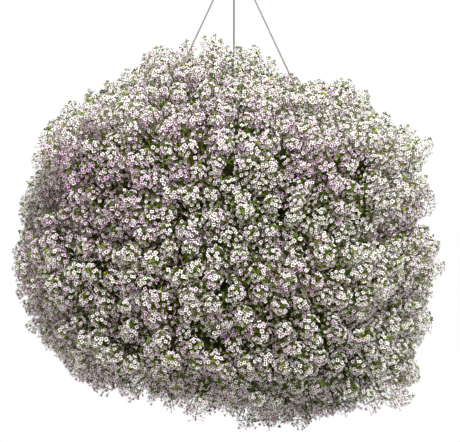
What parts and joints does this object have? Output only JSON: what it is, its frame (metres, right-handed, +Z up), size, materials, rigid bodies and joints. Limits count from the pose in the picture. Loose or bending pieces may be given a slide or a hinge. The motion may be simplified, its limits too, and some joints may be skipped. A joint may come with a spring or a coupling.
{
  "type": "hanging pot of sweet alyssum",
  "caption": "Round ball of white and lilac sweet alyssum, grown in a hanging pot that is held by wires on one hook.",
  "frame": {"origin": "the top of the hook's inside, where it hangs on its rail", "axes": "+Z up along the hanging direction, -Y towards the front, +X to the right as seen from the front"},
  "size_m": [0.5878, 0.5876, 0.7094],
  "materials": {
    "petals": "matt white to lilac petals",
    "leaf_green": "matt leaf",
    "pot_plastic": "matt moulded plastic",
    "soil": "damp crumbly potting soil",
    "wire_steel": "dull galvanised wire"
  },
  "bodies": {
    "root": {"hanger_hook": "wire_steel", "hanger_ferrule": "wire_steel", "hanger_wire_1": "wire_steel", "hanger_wire_2": "wire_steel", "hanger_wire_3": "wire_steel", "pot": "pot_plastic", "soil": "soil", "foliage_1": "leaf_green", "foliage_2": "leaf_green", "foliage_3": "leaf_green", "spray_01": "petals", "spray_02": "petals", "spray_03": "petals", "spray_04": "petals", "spray_05": "petals", "spray_06": "petals", "spray_07": "petals", "spray_08": "petals", "spray_09": "petals", "spray_10": "petals", "spray_11": "petals", "spray_12": "petals", "spray_13": "petals", "spray_14": "petals", "spray_15": "petals", "spray_16": "petals", "spray_17": "petals", "spray_18": "petals", "spray_19": "petals", "spray_20": "petals", "spray_21": "petals", "spray_22": "petals", "spray_23": "petals", "spray_24": "petals", "spray_25": "petals", "spray_26": "petals", "spray_27": "petals", "spray_28": "petals", "spray_29": "petals", "spray_30": "petals", "spray_31": "petals", "spray_32": "petals", "spray_33": "petals", "spray_34": "petals", "spray_35": "petals", "spray_36": "petals", "spray_37": "petals", "spray_38": "petals", "spray_39": "petals", "spray_40": "petals", "spray_41": "petals", "spray_42": "petals", "spray_43": "petals"}
  },
  "joints": []
}
